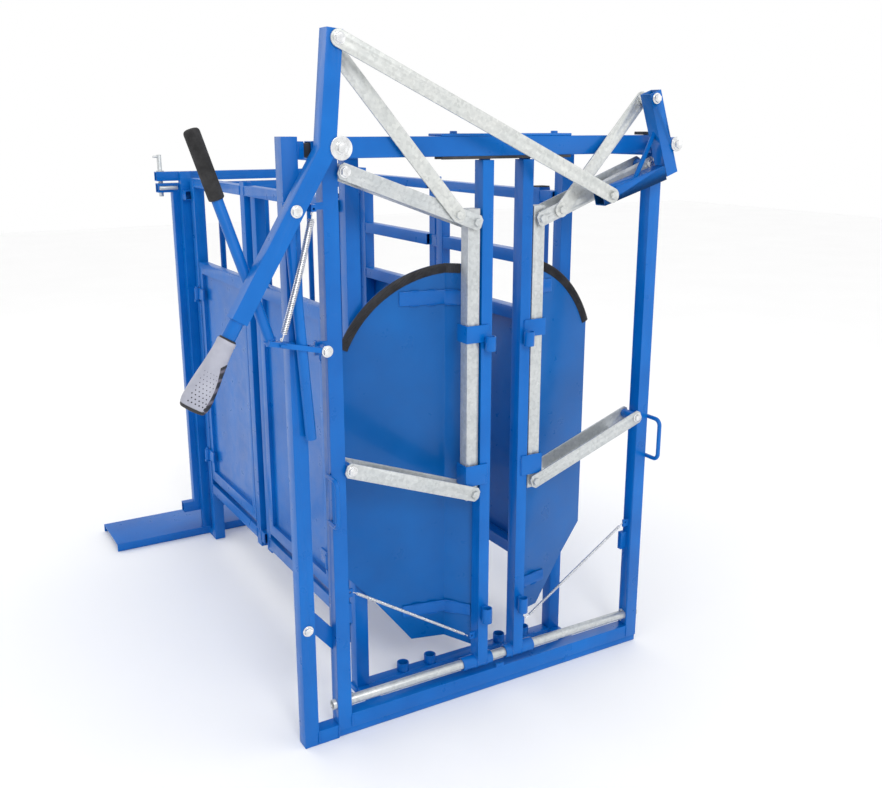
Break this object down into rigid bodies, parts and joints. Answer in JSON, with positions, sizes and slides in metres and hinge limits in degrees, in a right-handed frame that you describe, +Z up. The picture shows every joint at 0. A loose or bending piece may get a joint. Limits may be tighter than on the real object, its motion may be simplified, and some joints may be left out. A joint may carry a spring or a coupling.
{
  "type": "cattle squeeze chute",
  "caption": "Framed calf chute with a lever-driven sliding head gate, shaped shoulder panels, side doors and a hinged tail gate.",
  "frame": {"origin": "middle of the head gate on the floor, at the centre plane of its posts", "axes": "+X right seen from the front, +Y to the rear, +Z up"},
  "size_m": [1.3856, 1.8, 1.7438],
  "materials": {
    "blue_paint": "gloss powder coat over welded tube",
    "galvanised": "hot-dip galvanised, mottled",
    "zinc_plate": "bright zinc plate",
    "black_rubber": "ribbed matt rubber",
    "black_plastic": "matt moulded plastic",
    "black_foam": "matt foam rubber",
    "grey_grip": "dimpled moulded rubber with a dark inlay"
  },
  "bodies": {
    "frame": {"front_left_post": "blue_paint", "front_right_post": "blue_paint", "top_beam": "blue_paint", "bottom_beam": "blue_paint", "base_skid": "blue_paint", "outer_left_post": "blue_paint", "outer_post_ties": "blue_paint", "guide_plate": "blue_paint", "guide_pad": "black_rubber", "slide_pipe": "galvanised", "pipe_cotters": "galvanised", "side_handles": "blue_paint", "frame_bolts": "zinc_plate", "body_front_posts": "blue_paint", "body_header": "blue_paint", "floor_bar": "blue_paint", "left_side_frame": "blue_paint", "right_side_frame": "blue_paint", "right_side_sheet": "blue_paint", "rear_frame": "blue_paint", "rear_sill": "blue_paint", "hinge_pins": "blue_paint", "end_caps": "black_plastic", "left_leaf_spring": "zinc_plate", "right_leaf_spring": "zinc_plate", "release_spring": "zinc_plate"},
    "left_leaf": {"left_stanchion": "blue_paint", "left_sleeve": "blue_paint", "left_leaf_brackets": "blue_paint", "left_panel": "blue_paint", "left_panel_straps": "blue_paint", "left_edge_trim": "black_rubber"},
    "right_leaf": {"right_stanchion": "blue_paint", "right_sleeve": "blue_paint", "right_leaf_brackets": "blue_paint", "right_panel": "blue_paint", "right_panel_straps": "blue_paint", "right_edge_trim": "black_rubber"},
    "left_upright": {"left_upright": "galvanised"},
    "right_upright": {"right_upright": "galvanised"},
    "left_upper_link": {"left_upper_link": "galvanised"},
    "left_lower_link": {"left_lower_link": "galvanised"},
    "right_upper_link": {"right_upper_link": "galvanised"},
    "right_lower_link": {"right_lower_link": "galvanised"},
    "lever": {"lever": "blue_paint", "lever_grip": "grey_grip", "lever_bolts": "zinc_plate"},
    "left_strap": {"left_strap": "galvanised"},
    "long_strap": {"long_strap": "galvanised"},
    "bell_crank": {"bell_crank": "blue_paint", "crank_bolts": "zinc_plate"},
    "right_strap": {"right_strap": "galvanised"},
    "lock_tube": {"lock_tube": "blue_paint"},
    "release_bar": {"release_bar": "blue_paint", "release_grip": "black_foam"},
    "left_front_door": {"left_front_door": "blue_paint"},
    "left_rear_door": {"left_rear_door": "blue_paint"},
    "tail_gate": {"tail_gate": "blue_paint", "gate_rod": "galvanised"},
    "drop_pin": {"drop_pin": "galvanised"}
  },
  "joints": [
    {"name": "lever_hinge", "type": "hinge", "parent": "frame", "child": "lever", "pos_m": [-0.489, -0.072, 1.497], "axis": [0, 1, 0], "range_deg": [0, 30]},
    {"name": "left_leaf_slide", "type": "slide", "parent": "frame", "child": "left_leaf", "axis": [1, 0, 0], "range_m": [-0.1201, 0], "deforming": ["left_leaf_spring"]},
    {"name": "right_leaf_slide", "type": "slide", "parent": "frame", "child": "right_leaf", "axis": [1, 0, 0], "range_m": [0, 0.1022], "deforming": ["right_leaf_spring"]},
    {"name": "left_upright_slide", "type": "slide", "parent": "left_leaf", "child": "left_upright", "axis": [0, 0, 1], "range_m": [-0.1665, 0]},
    {"name": "right_upright_slide", "type": "slide", "parent": "right_leaf", "child": "right_upright", "axis": [0, 0, 1], "range_m": [-0.1513, 0]},
    {"name": "left_upper_link_hinge", "type": "hinge", "parent": "frame", "child": "left_upper_link", "pos_m": [-0.453, 0, 1.444], "axis": [0, 1, 0], "range_deg": [0, 31.62]},
    {"name": "left_lower_link_hinge", "type": "hinge", "parent": "frame", "child": "left_lower_link", "pos_m": [-0.453, 0, 0.732], "axis": [0, 1, 0], "range_deg": [0, 31.62]},
    {"name": "right_upper_link_hinge", "type": "hinge", "parent": "frame", "child": "right_upper_link", "pos_m": [0.453, 0, 1.444], "axis": [0, 1, 0], "range_deg": [-28.04, 0]},
    {"name": "right_lower_link_hinge", "type": "hinge", "parent": "frame", "child": "right_lower_link", "pos_m": [0.453, 0, 0.732], "axis": [0, 1, 0], "range_deg": [-28.04, 0]},
    {"name": "left_strap_hinge", "type": "hinge", "parent": "lever", "child": "left_strap", "pos_m": [-0.489, -0.0345, 1.722], "axis": [0, 1, 0], "range_deg": [-2.82, 0]},
    {"name": "long_strap_hinge", "type": "hinge", "parent": "lever", "child": "long_strap", "pos_m": [-0.489, -0.0945, 1.722], "axis": [0, 1, 0], "range_deg": [-25.82, 0]},
    {"name": "bell_crank_hinge", "type": "hinge", "parent": "frame", "child": "bell_crank", "pos_m": [0.483, -0.072, 1.497], "axis": [0, 1, 0], "range_deg": [-28.27, 0]},
    {"name": "right_strap_hinge", "type": "hinge", "parent": "bell_crank", "child": "right_strap", "pos_m": [0.407, -0.0345, 1.612], "axis": [0, 1, 0], "range_deg": [0, 4.75]},
    {"name": "lock_tube_hinge", "type": "hinge", "parent": "lever", "child": "lock_tube", "pos_m": [-0.597, -0.04, 1.366], "axis": [0, 1, 0], "range_deg": [-36.9, 0]},
    {"name": "release_bar_hinge", "type": "hinge", "parent": "frame", "child": "release_bar", "pos_m": [-0.521, -0.04, 1.044], "axis": [0, 1, 0], "range_deg": [-8, 0], "stiffness_Nm_per_rad": 60, "springref_deg": 6.88, "deforming": ["release_spring"]},
    {"name": "left_front_door_hinge", "type": "hinge", "parent": "frame", "child": "left_front_door", "pos_m": [-0.385, 0.29, 0.7], "axis": [0, 0, 1], "range_deg": [0, 110]},
    {"name": "left_rear_door_hinge", "type": "hinge", "parent": "frame", "child": "left_rear_door", "pos_m": [-0.385, 1.394, 0.7], "axis": [0, 0, 1], "range_deg": [-110, 0]},
    {"name": "tail_gate_hinge", "type": "hinge", "parent": "frame", "child": "tail_gate", "pos_m": [0.306, 1.544, 0.7], "axis": [0, 0, 1], "range_deg": [-100, 0]},
    {"name": "drop_pin_slide", "type": "slide", "parent": "frame", "child": "drop_pin", "axis": [0, 0, 1], "range_m": [0, 0.06]}
  ],
  "couplings": [
    {"joint": "left_leaf_slide", "follows": "lever_hinge", "m_per_rad": -0.22918},
    {"joint": "right_leaf_slide", "follows": "lever_hinge", "m_per_rad": 0.19484},
    {"joint": "left_upright_slide", "follows": "lever_hinge", "m_per_rad": -0.31776},
    {"joint": "right_upright_slide", "follows": "lever_hinge", "m_per_rad": -0.28876},
    {"joint": "left_upper_link_hinge", "follows": "lever_hinge", "ratio": 1.0533},
    {"joint": "left_lower_link_hinge", "follows": "lever_hinge", "ratio": 1.0533},
    {"joint": "right_upper_link_hinge", "follows": "lever_hinge", "ratio": -0.93401},
    {"joint": "right_lower_link_hinge", "follows": "lever_hinge", "ratio": -0.93401},
    {"joint": "left_strap_hinge", "follows": "lever_hinge", "ratio": -0.093617},
    {"joint": "long_strap_hinge", "follows": "lever_hinge", "ratio": -0.86017},
    {"joint": "bell_crank_hinge", "follows": "lever_hinge", "ratio": -0.9418},
    {"joint": "right_strap_hinge", "follows": "lever_hinge", "ratio": 0.15781},
    {"joint": "lock_tube_hinge", "follows": "lever_hinge", "ratio": -1.2295}
  ]
}
